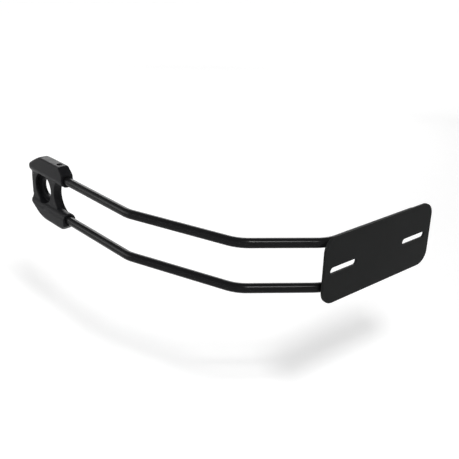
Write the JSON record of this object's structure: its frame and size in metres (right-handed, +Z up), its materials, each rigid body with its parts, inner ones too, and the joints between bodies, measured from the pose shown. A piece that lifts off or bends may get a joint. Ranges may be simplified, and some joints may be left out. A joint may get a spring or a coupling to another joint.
{
  "type": "side mount licence plate holder",
  "caption": "Side mount plate holder: an axle mount block with a recessed hole, a pair of bent rods and a flat slotted plate, all in satin black",
  "frame": {"origin": "centre of the axle hole, on the block's seat face that lies against the swingarm", "axes": "+X rearwards, the way the plate faces; +Y inwards behind the wheel, along the plate, square to the seat; +Z up"},
  "size_m": [0.3857, 0.2748, 0.0781],
  "materials": {
    "block": "satin black anodised machined aluminium",
    "rods": "satin black powder coat on round steel bar",
    "plate": "satin black powder coat on steel sheet",
    "screws": "black oxide on steel",
    "welds": "satin black powder coat over weld beads"
  },
  "bodies": {
    "root": {"mount_block": "block", "upper_rod": "rods", "lower_rod": "rods", "plate": "plate", "upper_set_screw": "screws", "lower_set_screw": "screws", "upper_welds": "welds", "lower_welds": "welds"}
  },
  "joints": []
}
